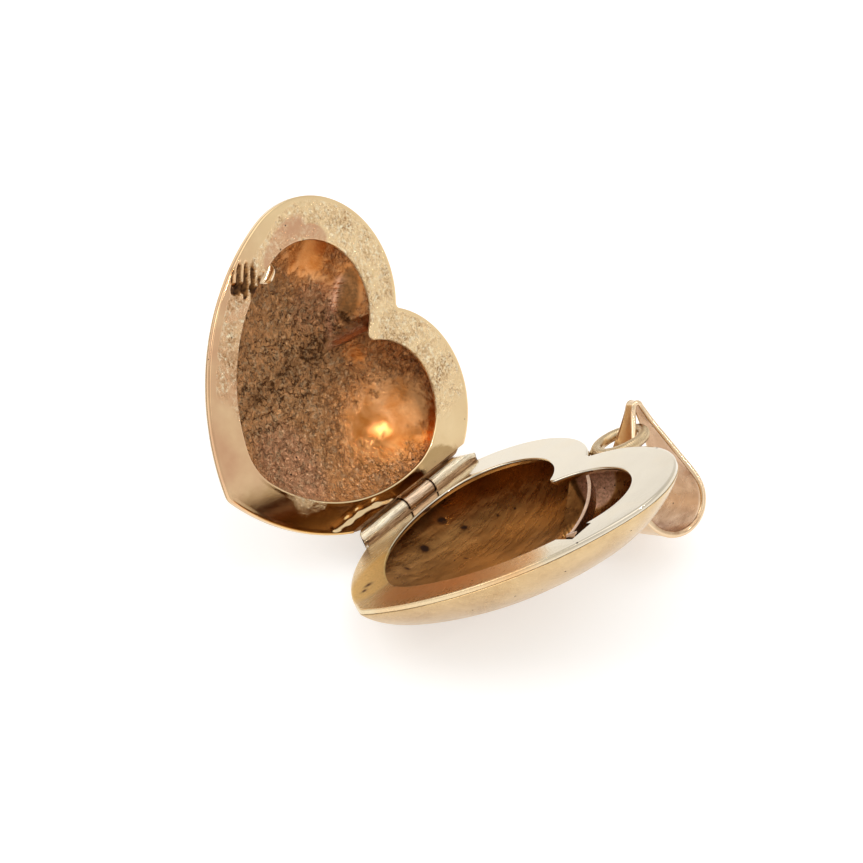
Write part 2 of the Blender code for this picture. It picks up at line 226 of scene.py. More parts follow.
def patch_axes(points, x, y, turn):
    cos, sin = math.cos(math.radians(turn)), math.sin(math.radians(turn))
    dx, dy = points[..., 0] - x, points[..., 1] - y
    return dx * cos + dy * sin, -dx * sin + dy * cos


def spot(points, x, y, radius_x, radius_y=None, turn=0.0):
    """A soft round patch in the heart frame's plane: 1 at its centre and 0 outside."""
    u, v = patch_axes(points, x, y, turn)
    u, v = u / radius_x, v / (radius_y or radius_x)
    return unit(1.5 - 1.5 * (u * u + v * v))


def glow(points, x, y, radius_x, radius_y, turn=0.0):
    """Like spot, but fading slowly: 1 at its centre and a third at the given radii."""
    u, v = patch_axes(points, x, y, turn)
    return np.exp(-(u / radius_x) ** 2 - (v / radius_y) ** 2)


def segment_distance(points, start, end):
    """(distance to a segment in the plane, share of the way along it)"""
    start, end = np.array(start), np.array(end)
    way = end - start
    flat = points[..., :2] - start
    share = unit((flat @ way) / (way @ way))
    return np.linalg.norm(flat - share[..., None] * way, axis=-1), share


# ---------------- meshes

def lattice(rows, count, wrap_rows=False):
    """Quads between closed rings of count points each, as vertex numbers."""
    last = rows if wrap_rows else rows - 1
    r, i = np.meshgrid(np.arange(last), np.arange(count), indexing="ij")
    j, s = (i + 1) % count, (r + 1) % rows
    quads = np.stack([r * count + i, r * count + j, s * count + j, s * count + i], -1)
    return quads.reshape(-1, 4)


def tube(rows, count):
    """Quads between rings of count points each, with a flat cap at both ends, as lists of vertex numbers."""
    caps = [tuple(range(count))[::-1], tuple(range((rows - 1) * count, rows * count))]
    return lattice(rows, count).tolist() + caps


def face_outwards(mesh):
    bm = bmesh.new()
    bm.from_mesh(mesh)
    bmesh.ops.recalc_face_normals(bm, faces=bm.faces)
    bm.to_mesh(mesh)
    bm.free()


def piece(name, points, faces, materials, place, body, nodes, marks=None, slots=None,
          sharp=None):
    """A finished mesh object that rides on a body and stands for CAD nodes."""
    mesh = bpy.data.meshes.new(name)
    mesh.from_pydata(np.asarray(points).reshape(-1, 3).tolist(), [], [tuple(f) for f in faces])
    for material in materials:
        mesh.materials.append(material)
    if slots is not None:
        mesh.polygons.foreach_set("material_index", np.asarray(slots, dtype=np.int32))
    for mark, values in (marks or {}).items():
        layer = mesh.attributes.new(mark, "FLOAT", "POINT")
        layer.data.foreach_set("value", np.asarray(values, dtype=np.float32).ravel())
    face_outwards(mesh)
    mesh.shade_smooth()
    if sharp:
        mesh.set_sharp_from_angle(angle=math.radians(sharp))
    thing = bpy.data.objects.new(name, mesh)
    thing.matrix_world = place
    bpy.context.collection.objects.link(thing)
    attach(thing, body)
    if nodes:
        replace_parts(thing, *nodes)
    return thing


def carve(thing, cutters):
    """Cut tools out of a piece for good, and drop the tools."""
    for cutter in cutters:
        boolean = thing.modifiers.new(cutter.name, "BOOLEAN")
        boolean.operation = "DIFFERENCE"
        boolean.object = cutter
    bpy.context.view_layer.update()
    evaluated = thing.evaluated_get(bpy.context.evaluated_depsgraph_get())
    mesh = bpy.data.meshes.new_from_object(evaluated)
    thing.modifiers.clear()
    thing.data = mesh
    mesh.shade_smooth()
    mesh.set_sharp_from_angle(angle=math.radians(38.0))


def settle(thing):
    """Move a piece's place into its mesh, so that its box is exact and its textures share one space."""
    bpy.context.view_layer.update()
    thing.data.transform(thing.matrix_world)
    thing.matrix_world = Matrix.Identity(4)


def discard(cutters):
    for cutter in cutters:
        bpy.data.objects.remove(cutter, do_unlink=True)


def tool(name, points, faces, place):
    """A cutting tool: not a piece, and dropped after use."""
    mesh = bpy.data.meshes.new(name)
    mesh.from_pydata([tuple(p) for p in points], [], faces)
    face_outwards(mesh)
    thing = bpy.data.objects.new(name, mesh)
    thing.matrix_world = place
    thing.hide_render = True
    bpy.context.collection.objects.link(thing)
    return thing


def groove_tool(name, place):
    """The round groove that the hinge lies in, cut along the flank of both halves."""
    count = 72
    turns = full_turn(count)
    reach = HINGE_LENGTH / 2 + 0.15
    points = [(GROOVE_RADIUS * math.cos(t), y, GROOVE_RADIUS * math.sin(t))
              for y in (-reach, reach) for t in turns]
    faces = [(i, (i + 1) % count, (i + 1) % count + count, i + count) for i in range(count)]
    faces += [tuple(range(count)), tuple(range(2 * count - 1, count - 1, -1))]
    return tool(name, points, faces, place)


def notch_tool():
    """The square notch in the back rim's inner edge where the nub of the catch spring lies."""
    x, y = hinge_xy(*NOTCH_CENTRE)
    half = NOTCH_SIZE / 2
    corners = [(x + dx, y + dy, BACK_FACE_Z + z) for z in (-1.0, 0.5)
               for dx, dy in ((-half, -half), (half, -half), (half, half), (-half, half))]
    faces = [(0, 1, 2, 3), (7, 6, 5, 4), (0, 4, 5, 1), (1, 5, 6, 2), (2, 6, 7, 3), (3, 7, 4, 0)]
    return tool("notch_tool", corners, faces, BACK_HINGE)


# ---------------- the two halves

def dome_rings(heart, top, depth, rows):
    """Rings from the mouth of a dome nearly to its pole, as (rows, points, 3)."""
    rings = []
    for turn in np.linspace(0.0, math.pi / 2, rows, endpoint=False):
        scale = math.cos(turn)
        ring = outline(softened(heart, scale))
        ring = (ring - (0.0, DOME_CENTRE_Y)) * scale + (0.0, DOME_CENTRE_Y)
        drop = depth * (1.0 - scale ** 2.9) ** 0.85
        rings.append(np.column_stack([ring, np.full(len(ring), top - drop)]))
    return np.array(rings)


def fold(points, below=0.0):
    """Raise the dome to the steep fold that runs from the cleft towards the middle of a puffed heart."""
    x, y, z = points[..., 0], points[..., 1], points[..., 2]
    crest = np.minimum(-3.85 + 1.4 * (y - 0.85), -0.9) - 3.2 * np.abs(x) - below
    blend = unit(0.5 + (crest - z) / 0.16)
    raised = z + (crest - z) * blend
    folded = points.copy()
    folded[..., 2] = np.where(y > 0.0, np.maximum(raised, z), z)
    return folded


def rough_patina(points):
    """Where the lid's inside is coarse and cracked: a band from the fold to the point's flank."""
    away = segment_distance(points, (0.6, 1.0), (2.2, -7.6))[0]
    band = np.exp(-(away / 2.4) ** 2)
    lobe = 0.45 * spot(points, 4.2, -2.5, 5.0, 6.0)
    flank = 0.35 * spot(points, -2.0, -6.0, 5.0, 5.0)
    return unit(band + lobe + flank)


def polished_patches(points):
    """Where the lid's inside is still bright: the tops of the two lobes, and beside the fold."""
    free = glow(points, 7.0, 3.0, 3.2, 2.3, 30.0)
    hinge_side = glow(points, -7.4, 1.4, 3.2, 4.6, 25.0)
    wall = glow(points, 2.2, 4.0, 2.8, 1.3, 37.6)
    under_fold = glow(points, -1.4, 2.1, 1.5, 0.9, -20.0)
    bright = 1.35 * (free + hinge_side + wall + under_fold)
    broken = 0.30 * fractal(points, 1.2, 3, 12.0) + 0.35 * fractal(points, 0.4, 2, 3.0)
    return unit(bright * (1.0 + broken) - 0.30)


def fold_ripple(points):
    """(strength, share along) of the rippled pink band beside the fold."""
    away, share = segment_distance(points, (3.5, 4.35), (0.9, 1.6))
    return np.exp(-(away / 0.36) ** 2), share


def cavity_relief(points, lid):
    """How far the inside of a shell stands proud of a smooth dome, in millimetres."""
    dents = 0.05 * fractal(points, 3.2, 3, 4.0)
    if not lid:
        streaks = 0.012 * fractal(points * (1.0, 0.25, 1.0), 0.5, 2, 9.0)
        return dents + streaks
    lumps = 0.11 * fractal(points, 0.8, 4, 1.0) - 0.12 * (1.0 - cells(points, 0.9, 2.0)) ** 2
    fine = 0.03 * fractal(points, 0.42, 2, 7.0)
    ripple, share = fold_ripple(points)
    ripple = ripple * 0.06 * np.sin(share * 2 * math.pi * 11)
    calm = 1.0 - 0.97 * glow(points, -7.6, 0.1, 2.3, 2.3)
    return calm * (dents + rough_patina(points) * lumps + (1.0 - polished_patches(points)) * fine) + ripple


# Black stains inside the back half, beside the hinge: (x, y, radius)
STAINS = ((-10.35, -2.3, 0.42), (-9.04, -1.57, 0.34), (-8.84, -5.31, 0.46), (-7.4, -7.9, 0.22),
          (-6.2, -3.9, 0.16), (-4.1, -6.4, 0.14), (-8.1, 0.9, 0.16), (-7.3, 2.0, 0.13))


def cavity_marks(points, lid):
    """Masks for the cavity's patina, with some painted light and shade: 0 bright to 1 dark and 2 stained, how
    pink, and how worn.
    """
    cloud = 0.5 + 0.5 * fractal(points, 2.6, 3, 6.0)
    if lid:
        rough = rough_patina(points)
        shine = polished_patches(points)
        band = np.exp(-(segment_distance(points, (0.3, 1.3), (1.9, -7.0))[0] / 0.9) ** 2)
        # A painted dark reflection: a dark patch on the free lobe's inner wall beside the fold.
        painted_dark_reflection = unit(1.6 * spot(points, 2.3, 4.15, 2.3, 0.75, 37.6))
        dark = 0.04 + 0.16 * cloud + band * (0.15 + 0.45 * cloud)
        dark += 0.45 * glow(points, -7.6, 4.2, 3.2, 1.7, -25.0)
        dark += 0.30 * glow(points, 8.3, 2.2, 1.6, 2.6, 10.0) + 0.25 * glow(points, 4.6, 5.6, 1.2, 1.6)
        dark += 1.5 * unit(fractal(points, 0.55, 2, 15.0) - 0.52) * (band + 0.5)
        dark -= 0.15 * spot(points, -6.0, -6.0, 4.0, 4.0)
        x, y = points[..., 0], points[..., 1]
        # A painted highlight along the fold's crest: a thin line kept free of the dark mask, pink and smooth.
        crest = np.exp(-((x - 0.08) / 0.26) ** 2) * unit((y - 0.6) / 0.8)
        dark = np.maximum(dark, 0.95 * painted_dark_reflection) * (1.0 - crest)
        ripple = fold_ripple(points)[0]
        pink = crest + 0.9 * ripple + 0.6 * spot(points, -3.5, -8.0, 4.0, 3.2)
        pink += 0.35 * spot(points, 3.4, 1.6, 2.0, 2.4)
        rough = unit(0.35 + rough - 0.6 * shine) * (1.0 - crest)
    else:
        dark = 0.45 + 0.4 * cloud
        dark -= 0.35 * spot(points, -5.0, -2.0, 4.5, 7.0)
        dark += 0.1 * spot(points, -7.0, 6.0, 5.0, 3.0) + 0.2 * spot(points, 7.0, -1.0, 2.6, 5.0, 20.0)
        # A painted pool of light on the lobe's inner wall, where light falls through the opening: lighter,
        # peach-pink and rougher.
        painted_light_pool = unit(2.0 * spot(points, 0.9, 4.6, 1.5, 1.3, 40.0))
        dark -= 0.9 * painted_light_pool
        uneven = 1.0 + 0.9 * fractal(points, 0.35, 3, 5.0)
        for x, y, size in STAINS:
            dark += 1.5 * glow(points, x, y, 0.75 * size, 0.6 * size, 40.0 * y) * uneven
        pink = painted_light_pool
        rough = 0.15 + 0.85 * painted_light_pool
    return {"dark": np.clip(dark, 0, 2), "pink": unit(pink), "rough": rough}


def shell(name, node, lid, materials, place, body):
    """A puffed half: outer dome, lip and inner dome in one closed skin."""
    outer = dome_rings(OUTER, OUTER_MOUTH, DOME_DEPTH + OUTER_MOUTH, OUTER_ROWS)
    inner = dome_rings(inset(OUTER, SHEET), INNER_MOUTH, DOME_DEPTH + INNER_MOUTH - SHEET, INNER_ROWS)
    outward = outer - (0.0, DOME_CENTRE_Y, 0.0)
    outer += outward / np.linalg.norm(outward, axis=-1, keepdims=True) * (
        0.03 * fractal(outer, 5.0, 2, 3.0))[..., None] * np.linspace(0, 1, OUTER_ROWS)[:, None, None] ** 0.3
    outer[3:] = fold(outer[3:], 0.6)
    relief = cavity_relief(inner, lid) * unit(np.linspace(0, 12, INNER_ROWS))[:, None]
    upward = (0.0, DOME_CENTRE_Y, 3.0) - inner
    inner += upward / np.linalg.norm(upward, axis=-1, keepdims=True) * relief[..., None]
    inner[3:] = fold(inner[3:])
    lips = [np.column_stack([outline(inset(OUTER, depth)), np.full(outer.shape[1], LIP)])
            for depth in (0.04, 0.3)]
    rings = np.concatenate([outer[::-1], lips, inner])
    count = rings.shape[1]
    faces = lattice(len(rings), count).tolist()
    poles = [(0.0, DOME_CENTRE_Y, outer[-1, :, 2].mean()), (0.0, DOME_CENTRE_Y, inner[-1, :, 2].mean())]
    first, last = len(rings) * count, len(rings) * count + 1
    faces += [(i, (i + 1) % count, first) for i in range(count)]
    tail = (len(rings) - 1) * count
    faces += [(tail + (i + 1) % count, tail + i, last) for i in range(count)]
    flat = np.concatenate([rings.reshape(-1, 3), poles])
    marks = cavity_marks(flat, lid)
    outside = np.zeros(len(flat), dtype=bool)
    outside[:(OUTER_ROWS + 2) * count] = outside[-2] = True
    # The outsides: darker towards the point and lighter towards the cleft, with noise; not pink, and with
    # little wear.
    pale = unit((flat[outside, 1] + 3.0) / 7.0)
    plain = {"dark": 0.38 - 0.22 * pale + 0.25 * fractal(flat[outside], 3.0, 3, 1.0),
             "pink": 0.0, "rough": 0.1}
    for mark, value in plain.items():
        marks[mark][outside] = value
    slots = np.zeros(len(faces), dtype=int)
    slots[(OUTER_ROWS + 1) * count:(len(rings) - 1) * count] = 1
    slots[-count:] = 1
    setting = front_place if lid else back_place
    return piece(name, setting(flat), faces, materials, place, body, [node], marks, slots)


# Rings of the frame plate outside its face: (side, distance in from that edge, height)
RIM_EDGE = [("in", 0.3, -0.5), ("in", 0.12, -0.34), ("in", 0.0, -0.2), ("in", 0.0, -0.1),
            ("in", 0.015, -0.05), ("in", 0.05, -0.015)]
RIM_FACE_ROWS = 46
RIM_SIDE = [("out", 0.07, -0.02), ("out", 0.03, -0.05), ("out", 0.005, -0.1), ("out", 0.0, -0.16),
            ("out", 0.0, -0.3), ("out", 0.02, -0.345), ("out", 0.08, -0.36), ("out", 0.4, -0.4)]


# How far an uneven rim face may stand proud, so that the closed halves don't cut into each other
FACE_CLEARANCE = 0.008

# The shallow ripple that runs along the lid's rim beside the hinge, in the heart frame
RIPPLE = ((-7.7, -10.4), (-8.1, -9.0), (-8.3, -7.9), (-8.9, -6.3), (-9.7, -5.0))


def catch_ridges(points):
    """Depth of the ridged recess that the catch leaves in the lid's rim."""
    x, y = points[..., 0], points[..., 1]
    away = unit(1.3 * spot(points, 10.2, -4.35, 1.55, 1.4))
    wander = 1.3 * fractal(points, 0.9, 2, 3.0)
    wave = np.sin((x * 0.72 - y * 0.70) * 2 * math.pi / 0.62 + wander)
    pits = (spot(points, 10.35, -5.45, 0.42, 0.5) + spot(points, 9.98, -4.87, 0.42, 0.36)
            + spot(points, 9.38, -4.22, 0.45, 0.36))
    return away * (-0.11 + 0.10 * wave) - 0.24 * unit(pits)


def rim_marks(points, share, lid):
    """Masks for a frame plate; share runs from 0 at the opening to 1 at the outer edge."""
    cloud = 0.5 + 0.5 * fractal(points, 2.2, 3, 8.0)
    x, y = points[..., 0], points[..., 1]
    across, along = hinge_xy(x, y)
    near_hinge = unit(1.7 - across) * unit((7.0 - abs(along)) / 1.5)
    if not lid:
        point = unit(1.6 * spot(points, -3.6, -11.6, 2.1, 4.6, 32.0))
        front = unit(1.8 * (1.0 - segment_distance(points, (1.6, -13.0), (8.2, -8.0))[0] / 2.6))
        yellow = unit((-4.0 - y) / 5.0) * 0.35
        stain = glow(points, -2.9, -13.2, 0.2, 0.3) + glow(points, -2.4, -13.9, 0.16, 0.22)
        return {"dark": np.clip(0.05 * cloud + 0.15 * near_hinge + 0.05 * point + 1.5 * stain, 0, 2),
                "pink": unit(0.5 * near_hinge + front * (0.8 + 0.3 * cloud)),
                "rough": unit(0.03 + yellow + 0.1 * near_hinge + 0.6 * point + 0.2 * front)}
    pink = spot(points, 10.0, 0.1, 1.25, 2.9, -8.0) + spot(points, 8.7, 2.7, 1.3, 0.9, -30.0)
    pink = unit(2.0 * pink) * (0.55 + 0.45 * cloud)
    pink += 0.7 * unit(1.5 * spot(points, 9.0, -6.4, 0.45, 1.7, 12.0))
    free_side = unit(x / 3.0) * unit((3.0 - y) / 2.0)
    strip = 0.05 + free_side * (0.17 + 0.2 * spot(points, 12.2, -3.0, 4.0, 4.0) - 0.05 * cloud)
    matte = unit((1.0 - strip - share) / 0.04)
    upper = unit((y + 11.5 + 1.2 * cloud) / 1.2)
    away = unit((across - 3.2 - 1.2 * cloud) / 1.2)
    broken = np.clip(0.75 + 0.9 * fractal(points, 1.4, 3, 4.0), 0.15, 1.0)
    rough = matte * upper * away * broken * (1.0 - 0.85 * unit(pink))
    catch = unit(-14.0 * catch_ridges(points) - 0.5)
    dark = 0.08 * cloud + catch * (1.28 + 0.30 * fractal(points, 0.35, 2, 6.0))
    amber = np.clip((1.0 - y) / 12.0, 0.0, 0.7) * unit(x / 6.0 + 0.8)
    pink = np.maximum(pink + 0.9 * catch, amber * (0.5 + 0.8 * cloud))
    dark += 0.10 * amber
    return {"dark": np.clip(dark, 0, 2), "pink": unit(pink + 0.4 * near_hinge),
            "rough": unit(rough)}


def rim(name, node, lid, materials, place, body):
    """The polished frame plate: opening wall, face, rounded edge and side, as one closed ring."""
    def line(kind, depth, z):
        heart = inset(OPENING, -depth) if kind == "in" else inset(OUTER, depth)
        points = outline(heart)
        return np.column_stack([points, np.full(len(points), z)])

    start, end = line("in", 0.1, 0.0), line("out", 0.14, 0.0)
    shares = np.linspace(0.0, 1.0, RIM_FACE_ROWS)
    face = np.array([start + (end - start) * share for share in shares])
    if lid:
        flat = np.clip((face[..., 1] + 10.0) / 3.0, 0.15, 1.0)
        lift = flat * (0.014 * fractal(face, 3.0, 2, 5.0) + 0.006 * fractal(face, 0.9, 2, 2.0)) - 0.008
        lift += catch_ridges(face)
        for start, end in zip(RIPPLE, RIPPLE[1:]):
            lift -= 0.06 * np.exp(-(segment_distance(face, start, end)[0] / 0.28) ** 2)
    else:
        lift = 0.006 * fractal(face, 3.0, 2, 5.0) - 0.002
    lift = np.minimum(lift, FACE_CLEARANCE) * unit(np.minimum(shares, 1 - shares) * 10)[:, None]
    face[..., 2] += lift + 0.006 * np.sin(np.pi * shares)[:, None] ** 0.5
    edge, side = [line(*spec) for spec in RIM_EDGE], [line(*spec) for spec in RIM_SIDE]
    rings = np.concatenate([edge, face, side])
    share = np.concatenate([np.zeros(len(edge)), shares, np.ones(len(side))])[:, None]
    faces = lattice(len(rings), rings.shape[1], wrap_rows=True)
    setting = front_place if lid else back_place
    return piece(name, setting(rings), faces.tolist(), materials, place, body, [node],
                 rim_marks(rings, share + 0.0 * rings[..., 0], lid))


# ---------------- hinge

def flank_at(stations):
    """How far out the heart's flank reaches in the hinge frame, at stations along the axis."""
    x, y = hinge_xy(*outline(OUTER).T)
    near = x < HINGE_REACH / 3
    order = np.argsort(y[near])
    return np.interp(stations, y[near][order], x[near][order])


def circle(radius, y, turns):
    return np.column_stack([radius * np.cos(turns), np.full(len(turns), y), radius * np.sin(turns)])


def knuckle(name, node, start, end, hollow, side, materials, place, body):
    """A hinge tube with eased ends, filed back to the line of the heart's flank."""
    turns = full_turn(72)
    ease = 0.05
    stations = [(0.9, start), (0.97, start + 0.3 * ease), (1.0, start + ease)]
    stations += [(1.0, y) for y in np.linspace(start + 2 * ease, end - 2 * ease, 60)]
    stations += [(1.0, end - ease), (0.97, end - 0.3 * ease), (0.9, end)]
    rings = []
    for share, y in stations:
        radius = KNUCKLE_RADIUS * share
        filed = 0.8 * max(abs(y) - FILED_FROM, 0.0) - KNUCKLE_RADIUS
        eased = KNUCKLE_RADIUS - 0.3 * max(y - 4.6, 0.0)
        rings.append(np.column_stack([np.maximum(radius * np.cos(turns), filed), np.full(len(turns), y),
                                      np.minimum(radius * np.sin(turns), eased)]))
    rings = np.array(rings)
    grain = 0.010 * fractal(rings * (1.0, 0.12, 1.0), 0.16, 2, 7.0) + 0.012 * fractal(rings, 1.1, 2, 1.0)
    middle = np.array((0.0, 1.0, 0.0)) * rings
    rings = middle + (rings - middle) * (1.0 + grain[..., None])
    rings[..., 0] *= side
    flat = rings.reshape(-1, 3)
    if hollow:
        bores = [circle(BORE_RADIUS, y, turns) for y in (end, start)]
        flat = np.concatenate([flat, *bores])
        faces = lattice(len(rings) + 2, len(turns), wrap_rows=True).tolist()
    else:
        faces = tube(len(rings), len(turns))
    from_end = np.minimum(flat[:, 1] - start, end - flat[:, 1])
    # dark: streaky tarnishing along the tube, and painted shade, near black, at both ends of each knuckle
    dark = 0.08 + 0.3 * fractal(flat * (1.0, 0.15, 1.0), 0.5, 2, 3.0) + 1.6 * np.exp(-from_end / 0.05)
    marks = {"dark": dark, "pink": np.full(len(flat), 0.7 if hollow else 0.0)}
    piece(name, flat, faces, materials, place, body, [node], marks, sharp=35.0)


def pin(materials):
    """The hinge wire, riveted inside the two outer knuckles."""
    turns = full_turn(48)
    low, high = PIN_ENDS
    stations = [(0.20, low), (0.26, low + 0.04)]
    stations += [(PIN_RADIUS, y) for y in np.linspace(low + 0.1, high - 0.1, 40)]
    stations += [(0.26, high - 0.04), (0.20, high)]
    rings = np.array([circle(radius, y, turns) for radius, y in stations])
    marks = {"dark": 0.3 + 0.2 * fractal(rings, 0.5, 2, 5.0)}
    piece("hinge_wire", rings, tube(len(rings), len(turns)), materials, BACK_HINGE, "back", ["hinge_pin"],
          marks, sharp=50.0)


def seat(name, node, side, held, materials, place, body):
    """The ridged bearer strip along the groove, with solder drawn up to the knuckles it holds."""
    stations = np.linspace(-HINGE_LENGTH / 2 + 0.1, HINGE_LENGTH / 2 - 0.4, 160)
    top = math.radians(-4.0)
    rings = []
    for y in stations:
        fill = 1.0
        for low, high in held:
            inside = min(y - low, high - y)
            fill = min(fill, 1.0 - min(max(inside / 0.25, 0.0), 1.0))
        rise = 0.24 * (1.0 - fill)
        inner = 0.69 - 0.06 * (1.0 - fill)
        section = []
        for share in np.linspace(0.0, 1.0, 17):
            reach = inner + (1.04 - inner) * share
            ridge = 0.022 * math.sin(share * 3 * 2 * math.pi) * (0.35 + 0.65 * fill)
            fillet = rise * (1.0 - share) ** 2.2
            height = -0.30 - 0.05 * fill * (1.0 - share) + ridge + fillet
            section.append((reach, y, height))
        for turn in np.linspace(top - 0.42, math.radians(-112.0), 14):
            section.append((1.07 * math.cos(turn), y, 1.07 * math.sin(turn)))
        for turn in np.linspace(math.radians(-112.0), top - 0.45, 14):
            section.append((inner * math.cos(turn), y, inner * math.sin(turn)))
        rings.append(section)
    rings = np.array(rings)
    rings[..., 2] += 0.012 * fractal(rings, 0.6, 2, 4.0) * (np.linalg.norm(rings[..., ::2], axis=-1) > 0.7)
    limit = np.minimum(flank_at(rings[..., 1]) + 0.03, 1.0)
    filed = rings[..., 0] < limit
    rings[..., 0] = np.where(filed, limit + 0.004 * (rings[..., 0] - limit), rings[..., 0])
    rings[..., 0] *= side
    # dark: tarnished metal on the bearer, and painted shade of its recess under the knuckles
    marks = {"dark": 0.55 + 0.45 * fractal(rings * (1.0, 0.2, 1.0), 0.35, 2, 3.0)}
    piece(name, rings, tube(*rings.shape[:2]), materials, place, body, [node], marks, sharp=45.0)


# ---------------- catch

def strip_rings(stations, bevel):
    """Rounded rectangular sections: (x, near, far, low, high) at each station."""
    rings = []
    for x, near, far, low, high in stations:
        section = []
        for cy, cz, start in ((far - bevel, high - bevel, 0.0), (near + bevel, high - bevel, 90.0),
                              (near + bevel, low + bevel, 180.0), (far - bevel, low + bevel, 270.0)):
            for turn in np.radians(np.linspace(start, start + 90.0, 5)):
                section.append((x, cy + bevel * math.cos(turn), cz + bevel * math.sin(turn)))
        rings.append(section)
    return np.array(rings)


def catch_spring(materials):
    """The bowed leaf spring, with its nub drawn from the end of the leaf."""
    root, end = np.array(CATCH_ROOT), np.array(CATCH_END)
    chord = np.linalg.norm(end - root)
    stations = []
    for share in np.linspace(0.0, 1.0, 60):
        bow = 4 * 0.55 * share * (1 - share)
        top = -0.22 - 0.12 * math.sin(share * math.pi)
        stations.append((chord * share, bow - 0.14, bow + 0.14, -1.35 + 0.25 * share ** 3, top))
    nub = ((0.12, 0.3, -1.0, -0.16), (0.22, 0.5, -0.8, -0.08), (0.32, 0.62, -0.72, -0.02),
           (0.5, 0.66, -0.7, 0.0), (0.68, 0.62, -0.7, -0.02), (0.78, 0.5, -0.66, -0.08))
    for along, reach, low, high in nub:
        stations.append((chord + along, -0.14, reach, low, high))
    rings = strip_rings(stations, 0.05)
    rings[..., 1] += 0.01 * fractal(rings, 0.8, 2, 2.0)
    x, y = hinge_xy(*root)
    chord_turn = math.degrees(math.atan2(end[1] - root[1], end[0] - root[0])) - HINGE_ANGLE
    place = (BACK_HINGE @ Matrix.Translation((x, y, BACK_FACE_Z))
             @ rotation(chord_turn, "Z"))
    marks = {"dark": 0.35 + 0.3 * fractal(rings, 0.8, 2, 5.0)}
    piece("catch_spring_leaf", rings, tube(*rings.shape[:2]), materials, place, "catch", ["catch_spring"],
          marks, sharp=50.0)


def catch_keeper(materials):
    """The lip that curls in from the lid's rim, in the lid's heart frame."""
    middle = np.array(KEEPER_MIDDLE)
    lobe = np.array((OPENING.lobe_x, OPENING.lobe_y))
    inward = (lobe - middle) / np.linalg.norm(lobe - middle)
    along = np.array((-inward[1], inward[0]))
    rings = []
    for share in np.linspace(-1.0, 1.0, 40):
        taper = max(1.0 - abs(share) ** 3, 0.02) ** 0.5
        section = []
        path = [math.radians(a) for a in np.linspace(0.0, 118.0, 16)]
        for turns, reach, root, rise in ((path, 0.66, -0.15, 0.36), (path[::-1], 0.44, -0.30, 0.50)):
            section += [(-0.12 + reach * taper * math.sin(turn), root + rise * taper * (1 - math.cos(turn)))
                        for turn in turns]
        spots = [(middle + along * 0.85 * share + inward * reach, height) for reach, height in section]
        rings.append([(p[0], p[1], z) for p, z in spots])
    rings = np.array(rings)
    marks = {"dark": 0.15 + 0.2 * fractal(rings, 0.5, 2, 5.0)}
    piece("catch_keeper_lip", front_place(rings), tube(*rings.shape[:2]), materials, LID_HINGE, "front",
          ["catch_keeper"], marks, sharp=50.0)


# ---------------- ring and bail

def milled_ring(materials, place):
    """The wire ring with its milled outside."""
    ridges, per_ridge, around = 78, 8, 32
    turns = full_turn(ridges * per_ridge)
    section = full_turn(around)
    turn, lap = np.meshgrid(turns, section, indexing="ij")
    tooth = 0.5 + 0.5 * np.cos(turn * ridges + 1.2 * np.sin(lap))
    wire = RING_WIRE + 0.035 * tooth * unit(0.55 + 0.6 * np.cos(lap))
    reach = RING_RADIUS + wire * np.cos(lap)
    rings = np.stack([reach * np.cos(turn), reach * np.sin(turn), wire * np.sin(lap)], -1)
    rings += 0.01 * fractal(rings, 0.5, 2, 3.0)[..., None]
    marks = {"dark": 0.75 - 0.6 * tooth}
    piece("bail_ring_milled", rings, lattice(len(turns), around, wrap_rows=True).tolist(),
          materials, place, "back", ["bail_ring"], marks)


def solder(name, x, y, z, sizes, seed, materials):
    """A smooth uneven lump of solder in the back half's heart frame."""
    rows, around = 28, 40
    up = np.linspace(0.04, math.pi - 0.04, rows)
    lap = full_turn(around)
    a, b = np.meshgrid(up, lap, indexing="ij")
    ball = np.stack([np.sin(a) * np.cos(b), np.sin(a) * np.sin(b), np.cos(a)], -1)
    ball *= (1.0 + 0.22 * fractal(ball, 0.9, 2, seed))[..., None]
    points = ball * sizes + (x, y, z)
    marks = {"dark": np.full(rows * around, 0.2)}
    piece(name, back_place(points), tube(rows, around), materials, BACK_HINGE, "back", None, marks)


